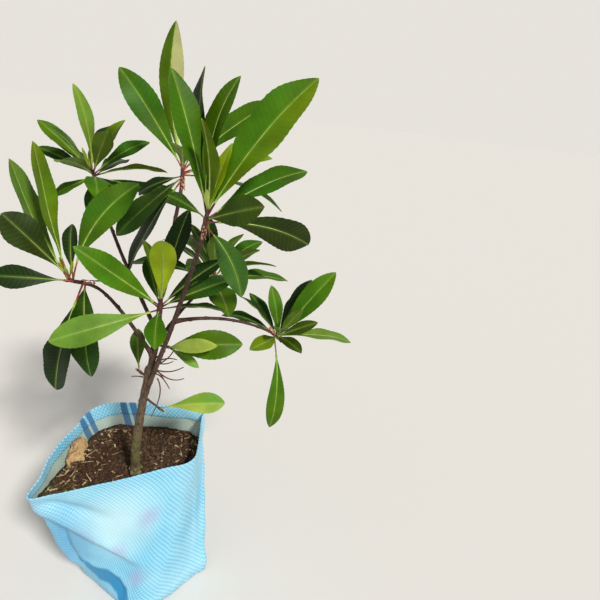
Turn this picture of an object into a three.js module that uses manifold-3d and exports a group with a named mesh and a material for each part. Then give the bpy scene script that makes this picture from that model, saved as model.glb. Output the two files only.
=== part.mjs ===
// A young broad-leaved olive sapling growing in a woven sack filled with soil.
// Millimetres, +Z up, with the origin at the centre of the sack's flat underside.
import * as THREE from "three";
import { mergeVertices } from "three/addons/utils/BufferGeometryUtils.js";
import Module from "manifold-3d";

const wasm = await Module();
wasm.setup();

// Driving dimensions
const CLEARANCE = 0.3;
const SACK_HEIGHT = 350;
const SACK_WALL = 3;
const SACK_BULGE = 12;
const SOIL_LEVEL = 295;
const SOIL_BUMP = 4;
const TRUNK_FOOT_RADIUS = 9;
const TRUNK_TOP_RADIUS = 6.5;
const ROOT_FLARE = 5;
const FLARE_HEIGHT = 16;
const SHOOT_RADIUS = 2.1;
const BUD_LENGTH = 8;
const WHORL_DEPTH = 22;
const LEAF_SLIMNESS = 0.28;
const LEAF_THICKNESS = 0.014;
const LEAF_FOLD = 0.16;
const LEAF_ROWS = [0, 0.1, 0.26, 0.46, 0.66, 0.86, 1];
const LEAF_TIP_RADIUS = 0.6;
const PETIOLE_RADIUS = 1.7;
const GOLDEN_ANGLE = 137.5;
const LEAVES_APART = 26;

// The sack is a flat sack pulled open over a smaller round-cornered base. Each corner is x, y and its radius,
// in order round the loop, and each corner of the base lies under the corner of the rim with the same place.
const BASE_CORNERS = [
  [-142, 8, 26],
  [-22, -122, 40],
  [125, -28, 18],
  [8, 118, 50],
];
const RIM_CORNERS = [
  [-190, -100, 14],
  [95, -58, 36],
  [114, 95, 14],
  [-120, 140, 60],
];
const CORNER_STEPS = 3;
const SIDE_STEPS = 3;
const SACK_ROWS = 6;
const SOIL_RINGS = 5;
const SOIL_SIDES = 20;
const SOIL_REACH = 260;
const SOIL_LUMPS = { across: 21, along: 17, wide: 31 };
const TRUNK_FOOT = [-21, -16];
const TRUNK_SUNK = 8;

const point = (p) => new THREE.Vector3(...p);

// Bends a closed cylinder grid into a solid. place(side, row) gives each point of the grid,
// and side is null at the middle of either end.
function sweep(sides, rows, place) {
  const geometry = new THREE.CylinderGeometry(1, 1, 1, sides, rows);
  geometry.deleteAttribute("normal");
  geometry.deleteAttribute("uv");
  const grid = geometry.attributes.position;
  for (let i = 0; i < grid.count; i++) {
    const turn = Math.atan2(grid.getX(i), grid.getZ(i)) / (2 * Math.PI);
    const side = (Math.round(turn * sides) + sides) % sides;
    const onAxis = Math.hypot(grid.getX(i), grid.getZ(i)) < 0.5;
    const row = Math.round((grid.getY(i) + 0.5) * rows);
    grid.setXYZ(i, ...place(onAxis ? null : side, row).toArray());
  }
  return toSolid(geometry);
}

function toSolid(geometry) {
  const merged = mergeVertices(geometry, 1e-4);
  const mesh = new wasm.Mesh({
    numProp: 3,
    vertProperties: new Float32Array(merged.attributes.position.array),
    triVerts: new Uint32Array(merged.index.array),
  });
  return new wasm.Manifold(mesh);
}

// The largest body of a solid, without loose scraps and sealed hollows.
function largestBody(solid) {
  const bodies = solid.decompose();
  return bodies.reduce((best, body) => (body.volume() > best.volume() ? body : best));
}

// A repeatable draw of numbers from 0 to 1.
function seededDraw(seed) {
  let state = seed;
  return () => {
    state = (Math.imul(state, 1664525) + 1013904223) >>> 0;
    return state / 4294967296;
  };
}

// A loop of points round a polygon with rounded corners, moved inwards by inset.
function roundedLoop(corners, inset) {
  const count = corners.length;
  const edges = corners.map(([x, y], i) => {
    const [nextX, nextY] = corners[(i + 1) % count];
    const along = new THREE.Vector2(nextX - x, nextY - y).normalize();
    const inwards = new THREE.Vector2(-along.y, along.x);
    return { along, start: new THREE.Vector2(x, y).addScaledVector(inwards, inset) };
  });
  const tips = edges.map((edge, i) => {
    const before = edges[(i + count - 1) % count];
    const gap = edge.start.clone().sub(before.start);
    const reach = gap.cross(edge.along) / before.along.cross(edge.along);
    return before.start.clone().addScaledVector(before.along, reach);
  });
  const arcs = tips.map((tip, i) => {
    const before = edges[(i + count - 1) % count].along;
    const after = edges[i].along;
    const halfTurn = Math.acos(THREE.MathUtils.clamp(before.dot(after), -1, 1)) / 2;
    const setBack = Math.max(corners[i][2] - inset, 2) * Math.tan(halfTurn);
    return new THREE.QuadraticBezierCurve(
      tip.clone().addScaledVector(before, -setBack),
      tip,
      tip.clone().addScaledVector(after, setBack),
    );
  });
  return arcs.flatMap((arc, i) => {
    const side = new THREE.LineCurve(arc.v2, arcs[(i + 1) % count].v0);
    return [...arc.getPoints(CORNER_STEPS), ...side.getPoints(SIDE_STEPS).slice(1, -1)];
  });
}

// The sack's skin: the loop at a height is the base's loop drawn out to the rim's, with a belly between.
function sackLoops(inset) {
  const base = roundedLoop(BASE_CORNERS, inset);
  const rim = roundedLoop(RIM_CORNERS, inset);
  return {
    count: base.length,
    at(side, height) {
      const rise = height / SACK_HEIGHT;
      const flat = base[side].clone().lerp(rim[side], rise);
      const belly = SACK_BULGE * 4 * rise * (1 - rise);
      flat.addScaledVector(flat.clone().normalize(), belly);
      return new THREE.Vector3(flat.x, flat.y, height);
    },
  };
}

function sackBody(inset, floor, top) {
  const skin = sackLoops(inset);
  return sweep(skin.count, SACK_ROWS, (side, row) => {
    const height = floor + ((top - floor) * row) / SACK_ROWS;
    return side === null ? new THREE.Vector3(0, 0, height) : skin.at(side, height);
  });
}

function sack() {
  const outside = sackBody(0, 0, SACK_HEIGHT);
  const inside = sackBody(SACK_WALL, SACK_WALL, SACK_HEIGHT + 1);
  return largestBody(outside.subtract(inside));
}

// The soil fills the sack. Its top is lumpy, and flat round the foot of the trunk.
function soil() {
  const floor = SACK_WALL + CLEARANCE;
  const foot = new THREE.Vector3(...TRUNK_FOOT, SOIL_LEVEL - CLEARANCE);
  const flatRadius = 1.5 * (TRUNK_FOOT_RADIUS + ROOT_FLARE);
  const column = sweep(SOIL_SIDES, SOIL_RINGS + 1, (side, row) => {
    const middle = foot.clone().setZ(row === 0 ? floor : foot.z);
    if (side === null) {
      return middle;
    }
    const inwards = Math.max(row - 1, 0) / SOIL_RINGS;
    const radius = THREE.MathUtils.lerp(SOIL_REACH, flatRadius, inwards);
    const angle = (side / SOIL_SIDES) * 2 * Math.PI;
    const surface = middle.add(new THREE.Vector3(Math.cos(angle) * radius, Math.sin(angle) * radius, 0));
    const { across, along, wide } = SOIL_LUMPS;
    const lump = Math.sin(surface.x / across + 1) * Math.cos(surface.y / along) + Math.sin(surface.y / wide);
    surface.z += row > 0 && inwards < 1 ? (SOIL_BUMP * lump) / 2 : 0;
    return surface;
  });
  const inside = sackBody(SACK_WALL + CLEARANCE, SACK_WALL, SACK_HEIGHT + 1);
  return largestBody(column.intersect(inside));
}

// A limb is a tapering round rod on a line, grown by swell where its neighbours are cut clear of it.
function limb({ line, foot, tip, flare = 0, sides = 6, rows = 6 }, swell = 0) {
  const frames = line.computeFrenetFrames(rows, false);
  const length = line.getLength();
  return sweep(sides, rows, (side, row) => {
    const along = row / rows;
    const middle = line.getPointAt(along);
    if (side === null) {
      return middle;
    }
    const spread = flare * Math.exp((-along * length) / FLARE_HEIGHT);
    const radius = THREE.MathUtils.lerp(foot, tip, along) + spread + swell;
    const angle = (side / sides) * 2 * Math.PI;
    return middle
      .addScaledVector(frames.binormals[row], Math.sin(angle) * radius)
      .addScaledVector(frames.normals[row], Math.cos(angle) * radius);
  });
}

// A rod that starts a little under the soil, cut off flat and level at the soil.
function cutAtSoil(rod) {
  const block = new THREE.BoxGeometry(SOIL_REACH, SOIL_REACH, SOIL_REACH);
  block.deleteAttribute("normal");
  block.deleteAttribute("uv");
  block.translate(0, 0, SOIL_LEVEL - SOIL_REACH / 2);
  return rod.subtract(toSolid(block));
}

// A line between two points that bows aside at its middle.
function bowed(from, to, bow) {
  const middle = point(from).lerp(point(to), 0.5).addScaledVector(point(bow), 2);
  return new THREE.QuadraticBezierCurve3(point(from), middle, point(to));
}

// A leaf: its stalk, then a blade that is widest past its middle, folded along the midrib and arched.
// Bearing is turned from +X towards +Y and rise is above the level, both in degrees, stalk to tip.
// Roll turns the upper face about that line, anticlockwise as seen from the stalk.
function leafDirection(bearing, rise) {
  const turn = THREE.MathUtils.degToRad(bearing);
  const lift = THREE.MathUtils.degToRad(rise);
  return new THREE.Vector3(
    Math.cos(lift) * Math.cos(turn),
    Math.cos(lift) * Math.sin(turn),
    Math.sin(lift),
  );
}

// The power on the place along the blade sets where it is widest, and the outer one rounds its ends.
function bladeHalfWidth(along, width) {
  const blade = (along - LEAF_ROWS[1]) / (1 - LEAF_ROWS[1]);
  if (blade <= 0) {
    return PETIOLE_RADIUS;
  }
  const shape = Math.sin(Math.PI * Math.min(blade ** 1.45, 1)) ** 0.75;
  return Math.max((width / 2) * shape, LEAF_TIP_RADIUS);
}

function leaf(base, { bearing, rise, length, roll = 0, arch = 0.05, wide = LEAF_SLIMNESS }) {
  const direction = leafDirection(bearing, rise);
  const upwards = leafDirection(bearing, rise + 90);
  const face = upwards.applyAxisAngle(direction, THREE.MathUtils.degToRad(-roll));
  const tip = base.clone().addScaledVector(direction, length);
  const crown = base.clone().lerp(tip, 0.5).addScaledVector(face, 2 * arch * length);
  const midrib = new THREE.QuadraticBezierCurve3(base, crown, tip);
  return sweep(4, LEAF_ROWS.length - 1, (side, row) => {
    const along = LEAF_ROWS[row];
    const middle = midrib.getPoint(along);
    if (side === null) {
      return middle;
    }
    const tangent = midrib.getTangent(along);
    const across = tangent.clone().cross(face).normalize();
    const normal = across.clone().cross(tangent);
    const half = bladeHalfWidth(along, length * wide);
    const thick = THREE.MathUtils.lerp(PETIOLE_RADIUS, (length * LEAF_THICKNESS) / 2, along);
    const angle = (side * Math.PI) / 2;
    const outwards = Math.sin(angle) * half;
    const onBlade = along > LEAF_ROWS[1] ? Math.abs(outwards) * LEAF_FOLD : 0;
    return middle
      .addScaledVector(across, outwards)
      .addScaledVector(normal, Math.cos(angle) * thick + onBlade);
  });
}

// Trunk and boughs. The trunk rises from a flat cut on the soil, and each bough grows from the one before it.
const trunk = {
  line: new THREE.CatmullRomCurve3([
    new THREE.Vector3(...TRUNK_FOOT, SOIL_LEVEL - TRUNK_SUNK),
    new THREE.Vector3(-19, -18, 352),
    new THREE.Vector3(-7, -20, 440),
    new THREE.Vector3(10, -20, 534),
  ]),
  foot: TRUNK_FOOT_RADIUS,
  tip: TRUNK_TOP_RADIUS,
  flare: ROOT_FLARE,
  sides: 10,
  rows: 10,
};
const BOUGHS = {
  leader: { from: [3, -22, 488], to: [91, -134, 806], bow: [5, 13, 0], foot: 4.5, tip: 3 },
  middle_bough: { from: [10, -20, 534.3], to: [31, -38, 655], bow: [5, 2, 0], foot: 5, tip: 3.5 },
  back_bough: { from: [8, -18, 512], to: [63, 33, 838], bow: [-2, 6, 0], foot: 4.5, tip: 3 },
  left_bough: { from: [16, -21, 566], to: [-66, -28, 697], bow: [-8, 0, 25], foot: 3.5, tip: 2.5 },
  right_bough: { from: [55, -68, 655], to: [222, -8, 604], bow: [0, 0, 14], foot: 3, tip: 2.2 },
  back_left_bough: { from: [22, 2, 604], to: [-78, 122, 828], bow: [-12, 6, 14], foot: 3.5, tip: 2.5 },
  back_right_bough: { from: [16, -6, 566], to: [112, 112, 640], bow: [0, 0, 12], foot: 3.5, tip: 2.5 },
};

// The masses of leaves. Each grows on a short stem from a bough's tip to the middle of its whorl.
// The leaves listed are those that give the mass its outline: bearing, rise, length and roll, then
// what else sets one apart. The filling leaves follow the seeded rule.
const MASSES = {
  top_front_leaves: {
    bough: "leader",
    centre: [98, -150, 852],
    leaves: [
      [-5, 55, 221, -57],
      [155, 74, 176, 25],
      [-103, 71, 127, 50],
      [31, 77, 175, 10],
      [96, 74, 184, 70],
      [-20, 73, 98, -70, { wide: 0.2 }],
      [22, 23, 177, -20],
      [-62, 15, 132, 50, { wide: 0.34 }],
      [8, -18, 158, -66, { wide: 0.34, arch: 0.12 }],
      [-32, -58, 128, -50, { wide: 0.34 }],
      [-155, 32, 62, 60, { wide: 0.34 }],
      [180, -69, 112, 60, { wide: 0.32 }],
    ],
    filling: { count: 12, seed: 11, rise: [0, 65], length: 150 },
  },
  top_back_leaves: {
    bough: "back_bough",
    centre: [67, 40, 883],
    leaves: [
      [174, 57, 168, 65, { wide: 0.31 }],
      [-143, 85, 200, -10],
      [-174, -48, 140, -58],
      [142, -25, 108, 50],
      [8, 39, 188, -38],
      [171, -50, 194, 34],
    ],
    filling: { count: 16, seed: 23, rise: [-20, 65], length: 165 },
  },
  middle_leaves: {
    bough: "middle_bough",
    centre: [33, -40, 675],
    leaves: [
      [-158, 43, 165, 68, { wide: 0.33 }],
      [-159, -8, 172, 50, { wide: 0.31, arch: 0.08 }],
      [-84, 62, 151, 5],
      [140, 73, 108, -15],
      [5, 22, 130, -43],
      [21, 33, 131, -24],
      [29, 11, 127, -12],
      [-8, 2, 108, 6],
      [-91, -6, 111, 4, { wide: 0.3 }],
    ],
    filling: { count: 12, seed: 37, rise: [0, 55], length: 125 },
  },
  left_leaves: {
    bough: "left_bough",
    centre: [-102, -30, 708],
    leaves: [
      [180, 83, 206, 14, { wide: 0.22 }],
      [163, 69, 190, -8, { wide: 0.22 }],
      [-158, 54, 136, 66],
      [-169, 8, 112, 60, { wide: 0.32 }],
      [-127, -78, 181, 40],
      [89, -81, 180, 15],
      [14, 55, 181, -62],
      [98, 51, 97, 25],
    ],
    filling: { count: 12, seed: 41, rise: [5, 50], length: 135 },
  },
  right_leaves: {
    bough: "right_bough",
    centre: [247, 0, 581],
    leaves: [
      [119, 71, 103, 30],
      [19, 61, 129, -10],
      [-6, 56, 168, -60],
      [-20, 30, 85, -60],
      [0, -5, 156, 0],
      [-78, 13, 105, -20],
      [-125, 13, 113, 40],
      [-121, -86, 212, 17, { wide: 0.2 }],
    ],
    filling: { count: 11, seed: 53, rise: [0, 50], length: 125 },
  },
  back_left_leaves: {
    bough: "back_left_bough",
    centre: [-87, 130, 853],
    leaves: [
      [180, 83, 138, 38],
      [166, 42, 118, 30],
      [180, 25, 95, 50],
      [-145, -20, 80, 20],
      [-88, -30, 96, 10],
      [-48, -11, 86, -20],
    ],
    filling: { count: 16, seed: 67, rise: [-20, 60], length: 150 },
  },
  back_right_leaves: {
    bough: "back_right_bough",
    centre: [130, 138, 656],
    leaves: [],
    filling: { count: 18, seed: 71, rise: [-10, 70], length: 155 },
  },
};

// Single shoots low on the stem, each with one to three leaves: where it grows from, and its leaves.
const SHOOTS = {
  fork_leaves: {
    from: [22, -27, 590],
    centre: [46, -38, 590],
    depth: 6,
    leaves: [
      [-9, 16, 128, -48, { wide: 0.32 }],
      [-34, 20, 90, -60, { arch: 0.14 }],
      [60, 20, 90, -10],
    ],
  },
  left_fork_leaf: {
    from: [6, -20, 520],
    centre: [-6, -26, 536],
    depth: 6,
    leaves: [[-150, 78, 92, -50]],
  },
  low_leaf: {
    from: [0, -21, 478],
    centre: [30, -40, 462],
    depth: 6,
    leaves: [[-8, 8, 118, -42, { wide: 0.32, arch: 0.1 }]],
  },
};

const solids = {
  grow_sack: sack(),
  soil: soil(),
  trunk: cutAtSoil(limb(trunk)),
};
const swollen = [limb(trunk, CLEARANCE)];
for (const [name, bough] of Object.entries(BOUGHS)) {
  const rod = { line: bowed(bough.from, bough.to, bough.bow), foot: bough.foot, tip: bough.tip, rows: 8 };
  const clear = swollen.reduce((body, other) => body.subtract(other), limb(rod));
  solids[name] = largestBody(clear);
  swollen.push(limb(rod, CLEARANCE));
}

// The stem leaves its bough's tip in the bough's own direction and ends a little past the whorl's middle, in
// the bud.
function massStem(from, heading, centre, radius) {
  const start = from.clone().addScaledVector(heading, CLEARANCE);
  const bend = start.clone().addScaledVector(heading, centre.distanceTo(from) / 2);
  const direction = centre.clone().sub(bend).normalize();
  const end = centre.clone().addScaledVector(direction, BUD_LENGTH);
  const line = new THREE.QuadraticBezierCurve3(start, bend, end);
  return { direction, solid: limb({ line, foot: radius, tip: radius * 0.6, sides: 5, rows: 4 }) };
}

// Steep leaves sit at the top of the whorl and low ones further down its stem.
function leafBase(mass, rise) {
  const depth = ((mass.depth ?? WHORL_DEPTH) * (90 - rise)) / 180;
  return mass.centre.clone().addScaledVector(mass.direction, -depth);
}

function touchesOthers(solid, own) {
  return Object.entries(solids).some(([name, other]) => name !== own && solid.minGap(other, 1) < CLEARANCE);
}

// Adds a leaf where it keeps clear of every other part.
function addLeaf(name, mass, shape) {
  const blade = leaf(leafBase(mass, shape.rise), shape);
  if (touchesOthers(blade, name)) {
    return;
  }
  solids[name] = solids[name].add(blade);
  mass.directions.push(leafDirection(shape.bearing, shape.rise));
}

const masses = {};
for (const [name, mass] of Object.entries(MASSES)) {
  const bough = BOUGHS[mass.bough];
  const centre = point(mass.centre);
  const heading = bowed(bough.from, bough.to, bough.bow).getTangent(1);
  const stem = massStem(point(bough.to), heading, centre, bough.tip);
  solids[name] = stem.solid;
  masses[name] = { ...mass, centre, direction: stem.direction, directions: [] };
}
for (const [name, shoot] of Object.entries(SHOOTS)) {
  const centre = point(shoot.centre);
  const heading = centre.clone().sub(point(shoot.from)).normalize();
  const stem = massStem(point(shoot.from), heading, centre, SHOOT_RADIUS);
  solids[name] = largestBody(swollen.reduce((body, other) => body.subtract(other), stem.solid));
  masses[name] = { ...shoot, centre, direction: stem.direction, directions: [] };
}
for (const [name, mass] of Object.entries(masses)) {
  for (const [bearing, rise, length, roll, more] of mass.leaves) {
    addLeaf(name, mass, { bearing, rise, length, roll, ...more });
  }
}

// The filling leaves turn by the golden angle, rise and grow shorter from the outside in, and keep away
// from those there. Chance moves each by up to its share of SCATTER.
const SCATTER = { bearing: 30, rise: 10, length: 0.3, roll: 80, arch: 0.08 };
const OUTER_LENGTH = 1.1;
const INNER_LENGTH = 0.75;
const LEAST_ARCH = 0.03;
for (const [name, mass] of Object.entries(masses)) {
  if (!mass.filling) {
    continue;
  }
  const { count, seed, rise, length } = mass.filling;
  const draw = seededDraw(seed);
  for (let k = 0; k < count; k++) {
    const inwards = k / (count - 1);
    const grown = length * THREE.MathUtils.lerp(OUTER_LENGTH, INNER_LENGTH, inwards);
    const shape = {
      bearing: GOLDEN_ANGLE * k + SCATTER.bearing * draw(),
      rise: THREE.MathUtils.lerp(rise[0], rise[1], inwards) + SCATTER.rise * draw(),
      length: grown * (1 + SCATTER.length * (draw() - 0.5)),
      roll: SCATTER.roll * (draw() - 0.5),
      arch: LEAST_ARCH + SCATTER.arch * draw(),
    };
    const direction = leafDirection(shape.bearing, shape.rise);
    const nearest = Math.max(-1, ...mass.directions.map((other) => other.dot(direction)));
    if (THREE.MathUtils.radToDeg(Math.acos(Math.min(nearest, 1))) >= LEAVES_APART) {
      addLeaf(name, mass, shape);
    }
  }
}

// Finishes
const woven = new THREE.MeshStandardMaterial({ color: 0x86c6ec, roughness: 0.55, metalness: 0 });
const earth = new THREE.MeshStandardMaterial({ color: 0x3a2a20, roughness: 0.95, metalness: 0 });
const bark = new THREE.MeshStandardMaterial({ color: 0x7a6a50, roughness: 0.85, metalness: 0 });
const twigBark = new THREE.MeshStandardMaterial({ color: 0x5a3a2c, roughness: 0.75, metalness: 0 });
const foliage = new THREE.MeshStandardMaterial({ color: 0x4f8f1c, roughness: 0.45, metalness: 0 });

function finishOf(name) {
  if (name === "grow_sack") {
    return woven;
  }
  if (name === "soil") {
    return earth;
  }
  if (name === "trunk") {
    return bark;
  }
  return name in BOUGHS ? twigBark : foliage;
}

const plant = new THREE.Group();
for (const [name, solid] of Object.entries(solids)) {
  const { numProp, vertProperties, triVerts } = largestBody(solid).getMesh();
  const geometry = new THREE.BufferGeometry();
  const positions = new THREE.InterleavedBuffer(vertProperties, numProp);
  geometry.setAttribute("position", new THREE.InterleavedBufferAttribute(positions, 3, 0));
  geometry.setIndex(new THREE.BufferAttribute(triVerts, 1));
  const mesh = new THREE.Mesh(geometry, finishOf(name));
  mesh.name = name;
  plant.add(mesh);
}

export default plant;
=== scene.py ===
import math
import random
from functools import partial

import bmesh
import bpy
import numpy as np
from mathutils import Matrix, Quaternion, Vector, noise


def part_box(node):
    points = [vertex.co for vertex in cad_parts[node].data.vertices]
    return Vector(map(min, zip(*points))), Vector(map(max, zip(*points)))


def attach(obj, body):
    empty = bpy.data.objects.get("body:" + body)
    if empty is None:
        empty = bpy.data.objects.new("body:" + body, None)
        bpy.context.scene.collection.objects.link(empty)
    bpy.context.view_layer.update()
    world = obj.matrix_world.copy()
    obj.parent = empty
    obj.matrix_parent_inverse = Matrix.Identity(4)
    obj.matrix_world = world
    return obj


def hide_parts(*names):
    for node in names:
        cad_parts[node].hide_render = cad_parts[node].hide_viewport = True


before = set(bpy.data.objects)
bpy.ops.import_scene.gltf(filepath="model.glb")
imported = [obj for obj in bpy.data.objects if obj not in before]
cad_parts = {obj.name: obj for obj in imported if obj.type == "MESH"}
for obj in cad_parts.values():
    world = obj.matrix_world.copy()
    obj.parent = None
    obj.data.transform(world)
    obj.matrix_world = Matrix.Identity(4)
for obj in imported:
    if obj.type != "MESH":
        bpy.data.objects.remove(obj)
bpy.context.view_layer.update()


# Grow sack. A grain sack woven from blue and white polypropylene tapes, pulled open and stood on its
# folded bottom. Its mouth is turned in as a hem, and the weight of the soil draws folds into the cloth.
MM = 0.001
SACK_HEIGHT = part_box("grow_sack")[1].z / MM
SACK_BULGE = 12
CLOTH = 1.4
RIM_RADIUS = 1.5
HEM_DEPTH = 24
HEM_CUT = 0.8
BOTTOM_ROUNDING = 7
# Rows of points round the bottom's edge, up the wall, over the rim, down the hem and down the inside.
BEND_ROWS, WALL_ROWS, RIM_ROWS, HEM_ROWS, INSIDE_ROWS = 5, 88, 7, 6, 84
# Each corner is x, y and its radius, and each corner of the mouth is over the same one of the bottom.
BOTTOM_CORNERS = ((-142, 8, 26), (-22, -122, 40), (125, -28, 18), (8, 118, 50))
MOUTH_CORNERS = ((-194, -103, 14), (95, -58, 36), (114, 95, 14), (-120, 140, 60))
CORNER_STEPS = 12
SIDE_STEPS = 40
# The corners without a crease are rounder at mid-height: their places round the mouth, and how far round.
ROUND_CORNERS = (293, 668)
ROUND_REACH = 75
ROUNDING_PASSES = 60
# The creased corner is drawn straight from mouth to bottom and doesn't bulge.
STRAIGHT_CORNER = 442
STRAIGHT_REACH = 60
# How far the mouth's edge sags or stands up at places round it. The cloth stretches for it above a height.
EDGE_RISES = (
    (0, -13), (61, -15), (150, -11), (228, -5), (297, -2), (380, -2), (442, 0),
    (500, 7), (565, 13), (623, 11), (690, 4), (760, 0), (830, -7),
)
EDGE_START = 275
# The cloth slumps outwards near the bottom: how far, how high up, and how far the slump spreads.
SLUMP = (3, 22, 14)
# Waves of wrinkles: their depth, width and height.
WRINKLES = ((2.2, 58, 42), (0.7, 19, 30))
# Each fold runs along a route of places, in mm round the mouth and up. Behind the route are its crest and
# how far that spreads above and below the route, then the hollow below it, and how far its two ends fade.
FOLDS = (
    (((4, 322), (28, 290), (48, 268), (88, 230), (130, 193), (178, 167), (232, 141), (294, 122)),
     9, 19, 13, 13, (85, 150)),
    (((30, 328), (95, 278), (175, 238)), -8, 14, 14, 0, (25, 90)),
    (((740, 350), (800, 350), (868, 350)), 9, 60, 60, 0, (50, 40)),
    (((22, 275), (24, 215), (25, 155), (30, 100), (40, 60)), 6, 8, 8, 0, (40, 50)),
    (((52, 262), (47, 205), (45, 160), (50, 110), (66, 85)), -7, 8, 8, 0, (30, 30)),
    (((442, 380), (442, 180), (442, -20)), 4, 7, 7, 0, (20, 20)),
    (((297, 345), (377, 223), (408, 134), (425, 34)), 1.8, 16, 9, 1.5, (30, 90)),
    (((40, 112), (115, 96), (180, 96), (240, 66), (264, 20)), 4, 12, 9, 4, (30, 50)),
    (((455, 330), (505, 262), (565, 208), (640, 172)), 7, 30, 7, 8, (20, 110)),
    (((610, 300), (680, 250), (760, 236), (850, 262)), 5, 26, 8, 5, (50, 60)),
    (((480, 76), (560, 56), (640, 60), (705, 88)), 4, 16, 9, 4, (40, 40)),
    (((715, 120), (780, 84), (855, 66)), 4, 18, 9, 4, (40, 40)),
)
HOLLOW_SPREAD = 6
SHARP_ANGLE = math.radians(50)


def unit(vectors):
    """The same directions with a length of 1."""
    return vectors / np.linalg.norm(vectors, axis=-1, keepdims=True)


def bell(offset):
    """1 at an offset of 0, fading smoothly to nothing on both sides, with 0.37 left at 1."""
    return np.exp(-np.square(offset))


def bowed(start, bend, end, share):
    """The point at a share of the way along the curve from start to end that is drawn towards bend."""
    return (1 - share) ** 2 * start + 2 * share * (1 - share) * bend + share**2 * end


def rounded_loop(corners):
    """Points round a polygon with rounded corners, as many on each corner and side as on the next."""
    tips = [np.array(corner[:2], float) for corner in corners]
    arcs = []
    for number, tip in enumerate(tips):
        before = unit(tip - tips[number - 1])
        after = unit(tips[(number + 1) % len(tips)] - tip)
        set_back = corners[number][2] * math.tan(math.acos(before @ after) / 2)
        arcs.append((tip - before * set_back, tip, tip + after * set_back))
    points = []
    for number, (start, tip, end) in enumerate(arcs):
        following = arcs[(number + 1) % len(arcs)][0]
        points += [bowed(start, tip, end, share) for share in np.arange(CORNER_STEPS) / CORNER_STEPS]
        points += [end + (following - end) * share for share in np.arange(SIDE_STEPS) / SIDE_STEPS]
    return np.array(points)


bottom_loop = rounded_loop(BOTTOM_CORNERS)
mouth_loop = rounded_loop(MOUTH_CORNERS)
side_lengths = np.linalg.norm(np.roll(mouth_loop, -1, axis=0) - mouth_loop, axis=1)
mouth_length = side_lengths.sum()
around = np.cumsum(side_lengths) - side_lengths
roundness = sum(bell((around - corner) / ROUND_REACH) for corner in ROUND_CORNERS)
bulge = SACK_BULGE * (1 - bell((around - STRAIGHT_CORNER) / STRAIGHT_REACH))
edge_rise = np.interp(around, *zip(*EDGE_RISES), period=mouth_length)


def fold_relief(places, route, crest, above, below, hollow, fades):
    """How far a fold moves the cloth outwards at each place, given round the mouth and up."""
    route = np.array(route, float)
    middle = route[:, 0].mean()
    turned = (places[:, 0] - middle + mouth_length / 2) % mouth_length - mouth_length / 2 + middle
    places = np.column_stack((turned, places[:, 1]))
    distance = np.full(len(places), np.inf)
    side = np.zeros(len(places))
    run = np.zeros(len(places))
    travelled = 0.0
    for start, end in zip(route, route[1:]):
        step = end - start
        length = np.linalg.norm(step)
        gap = places - start
        share = np.clip(gap @ step / length**2, 0, 1)
        away = np.linalg.norm(gap - share[:, None] * step, axis=1)
        closer = away < distance
        side = np.where(closer, step[0] * gap[:, 1] - step[1] * gap[:, 0], side)
        run = np.where(closer, travelled + share * length, run)
        distance = np.where(closer, away, distance)
        travelled += length
    fade = np.clip(run / fades[0], 0, 1) * np.clip((travelled - run) / fades[1], 0, 1)
    lifted = crest * bell(distance / np.where(side > 0, above, below))
    dropped = hollow * bell(distance / (HOLLOW_SPREAD * below)) * (1 - bell(distance / below))
    return fade * (lifted - np.where(side > 0, 0, dropped))


def cloth_ring(height, inset=0.0):
    """The points of one turn of the sack's cloth at a height, moved in from its outer face."""
    rise = height / SACK_HEIGHT
    ease = 4 * rise * (1 - rise)
    flat = bottom_loop + (mouth_loop - bottom_loop) * rise
    flat = flat * (1 + bulge * ease / np.linalg.norm(flat, axis=1))[:, None]
    for _ in range(ROUNDING_PASSES):
        between = (np.roll(flat, 1, axis=0) + np.roll(flat, -1, axis=0)) / 2
        flat = flat + (between - flat) * (roundness * ease)[:, None]
    places = np.column_stack((around, np.full(len(around), height)))
    relief = sum(fold_relief(places, *fold) for fold in FOLDS)
    relief += SLUMP[0] * bell((height - SLUMP[1]) / SLUMP[2])
    for depth, wide, high in WRINKLES:
        relief += [depth * noise.noise(Vector((x / wide, y / wide, height / high))) for x, y in flat]
    along = np.roll(flat, -1, axis=0) - np.roll(flat, 1, axis=0)
    outwards = unit(np.column_stack((along[:, 1], -along[:, 0])))
    flat = flat + outwards * (relief - inset)[:, None]
    lift = edge_rise * max(0, (height - EDGE_START) / (SACK_HEIGHT - EDGE_START)) ** 2
    return np.column_stack((flat, height + lift))


def loft(bm, rings, material=0):
    """A closed skin through rings of points: a filled circle, its edge extruded from ring to ring."""
    ring = bmesh.ops.create_circle(bm, cap_ends=True, segments=len(rings[0]), radius=1)["verts"]
    faces = set(ring[0].link_faces)
    turns = []
    for number, places in enumerate(rings):
        if number > 0:
            edges = [bm.edges.get(pair) for pair in zip(ring, ring[1:] + ring[:1])]
            grown = set(bmesh.ops.extrude_edge_only(bm, edges=edges)["geom"])
            ring = [next(e.other_vert(v) for e in v.link_edges if e.other_vert(v) in grown) for v in ring]
        for vert, place in zip(ring, places):
            vert.co = place
        turns.append(ring)
        faces.update(face for vert in ring for face in vert.link_faces)
    edges = [bm.edges.get(pair) for pair in zip(ring, ring[1:] + ring[:1])]
    faces.update(bmesh.ops.edgeloop_fill(bm, edges=edges)["faces"])
    for face in faces:
        face.material_index = material
    return turns


def placed(name, mesh, materials, replaced=()):
    """Makes a mesh in metres a piece of the plant, with its finishes and the nodes that it stands for."""
    for material in materials:
        mesh.materials.append(material)
    mesh.shade_smooth()
    mesh.set_sharp_from_angle(angle=SHARP_ANGLE)
    piece = bpy.data.objects.new(name, mesh)
    bpy.context.scene.collection.objects.link(piece)
    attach(piece, "root")
    if replaced:
        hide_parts(*replaced)


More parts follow.
